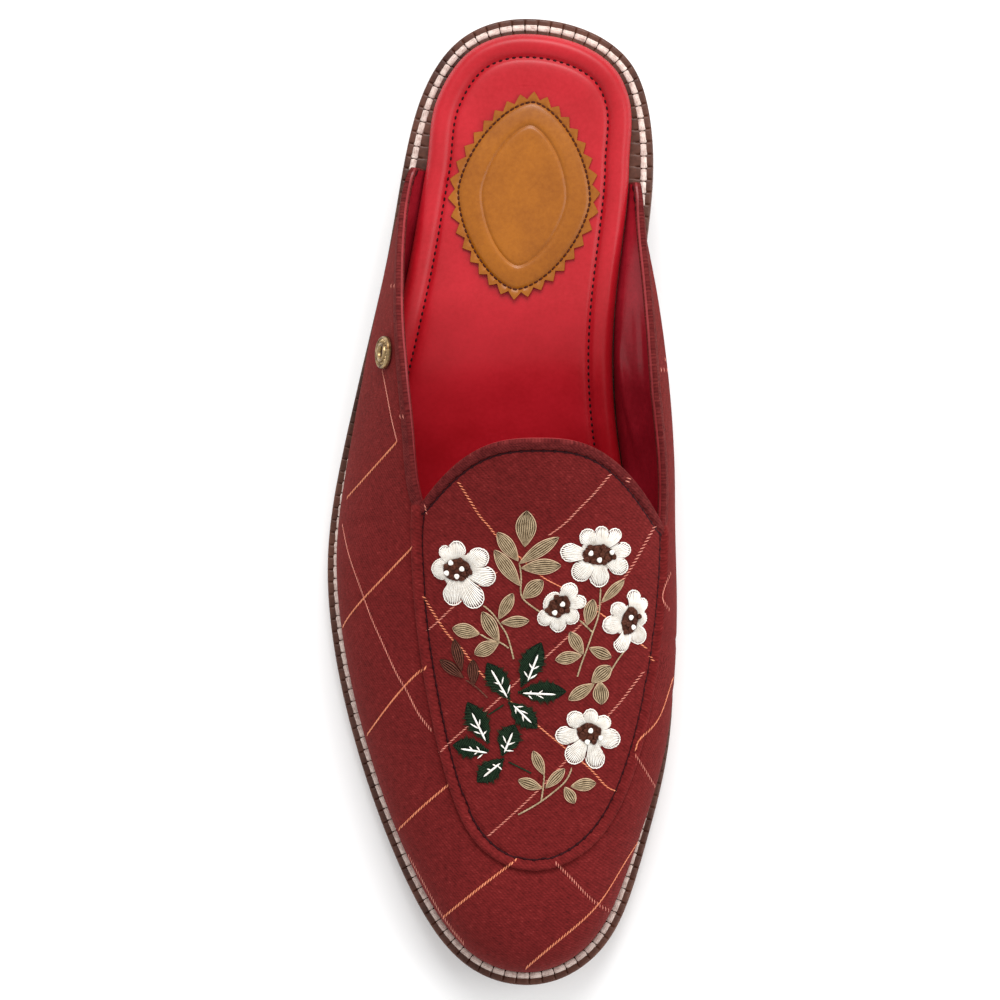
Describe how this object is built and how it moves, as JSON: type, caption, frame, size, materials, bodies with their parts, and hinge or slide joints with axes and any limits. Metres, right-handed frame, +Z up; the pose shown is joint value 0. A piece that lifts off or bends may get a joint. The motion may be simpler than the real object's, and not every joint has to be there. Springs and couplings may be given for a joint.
{
  "type": "backless loafer mule",
  "caption": "Backless loafer mule for the right foot, with a stitched welt, low stacked heel, padded footbed and an embroidered checked cloth upper.",
  "frame": {"origin": "on the floor under the middle of the shoe's outline", "axes": "-Y towards the toe, +X towards the medial side of this right shoe, +Z up"},
  "size_m": [0.0987, 0.27, 0.0749],
  "materials": {
    "sole_leather": "satin brown sole leather",
    "welt_leather": "satin brown welt leather",
    "stacked_leather": "stacked brown heel leather",
    "heel_rubber": "matt dark rubber",
    "footbed_leather": "soft glossy red leather",
    "upper_cloth": "matt maroon twill with a windowpane check",
    "patch_leather": "waxed tan leather",
    "aged_brass": "aged brass"
  },
  "bodies": {
    "root": {"outsole": "sole_leather", "welt": "welt_leather", "heel_stack": "stacked_leather", "heel_top_piece": "heel_rubber", "footbed": "footbed_leather", "upper": "upper_cloth", "heel_patch": "patch_leather", "rivet": "aged_brass"}
  },
  "joints": []
}
